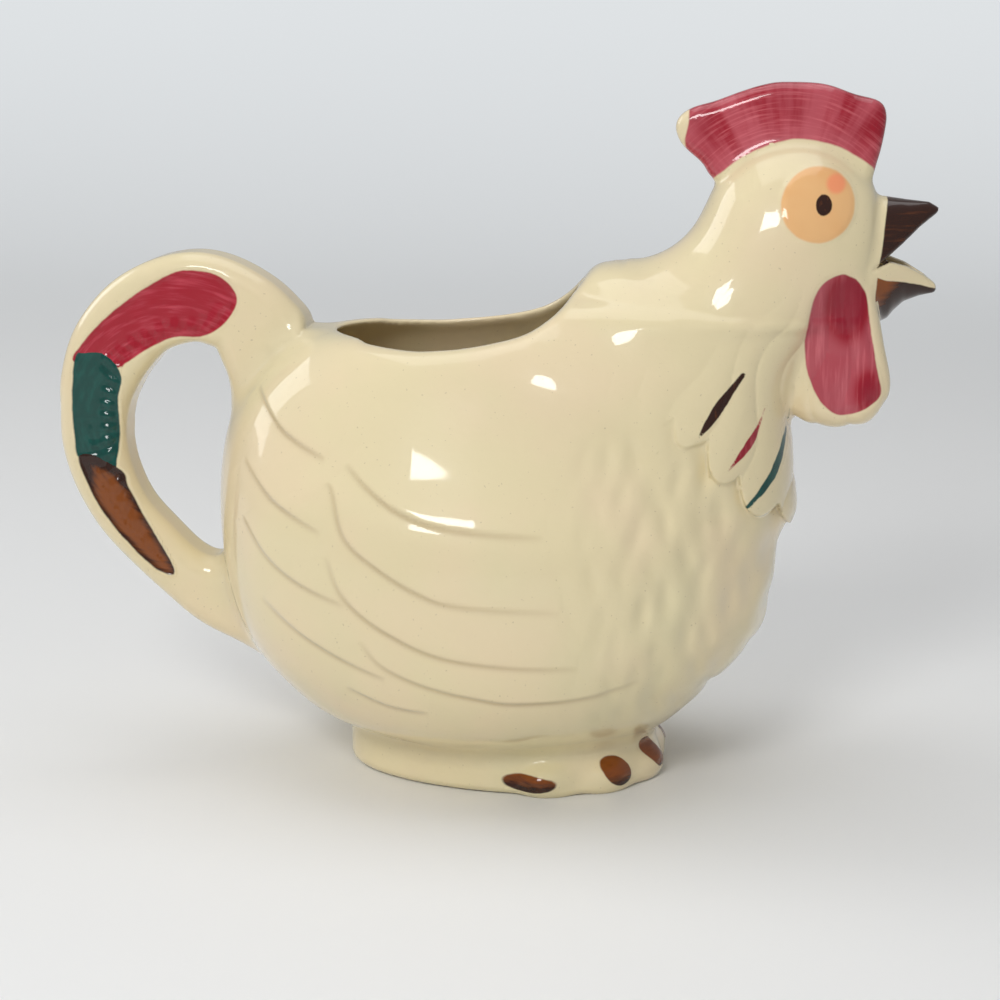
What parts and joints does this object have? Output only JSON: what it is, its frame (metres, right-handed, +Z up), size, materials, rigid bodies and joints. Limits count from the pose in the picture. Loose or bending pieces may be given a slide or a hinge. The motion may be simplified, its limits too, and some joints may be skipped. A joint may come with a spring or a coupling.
{
  "type": "pitcher",
  "caption": "Rooster-shaped pitcher in glazed earthenware: a round bowl with a filling mouth in the back, a curled tail as the handle and a hollow neck that pours through the open beak.",
  "frame": {"origin": "under the middle of the foot, on the surface the jug stands on", "axes": "+X forward along the beak, +Y to the bird's left, +Z up"},
  "size_m": [0.2432, 0.1216, 0.1909],
  "materials": {
    "cream_glaze": "warm cream earthenware under a clear gloss glaze, slightly mottled",
    "red_glaze": "maroon underglaze brushed on, under clear gloss",
    "green_glaze": "dark teal green underglaze under clear gloss",
    "caramel_glaze": "caramel to dark brown underglaze under clear gloss",
    "brown_glaze": "dark brown underglaze under clear gloss",
    "peach_glaze": "peach underglaze under clear gloss"
  },
  "bodies": {
    "root": {"bowl": "cream_glaze", "neck": "cream_glaze", "head": "cream_glaze", "wattle_right": "cream_glaze", "wattle_left": "cream_glaze", "tail_handle": "cream_glaze", "foot": "cream_glaze", "wing_right": "cream_glaze", "wing_left": "cream_glaze", "upper_beak": "brown_glaze", "lower_beak": "caramel_glaze", "comb": "red_glaze", "eye_patches": "peach_glaze", "pupils": "brown_glaze", "wattle_glaze": "red_glaze", "tail_glaze_red": "red_glaze", "tail_glaze_green": "green_glaze", "tail_glaze_brown": "caramel_glaze", "hackle_stroke_brown": "caramel_glaze", "hackle_stroke_red": "red_glaze", "hackle_stroke_green": "green_glaze", "claws": "brown_glaze"}
  },
  "joints": []
}
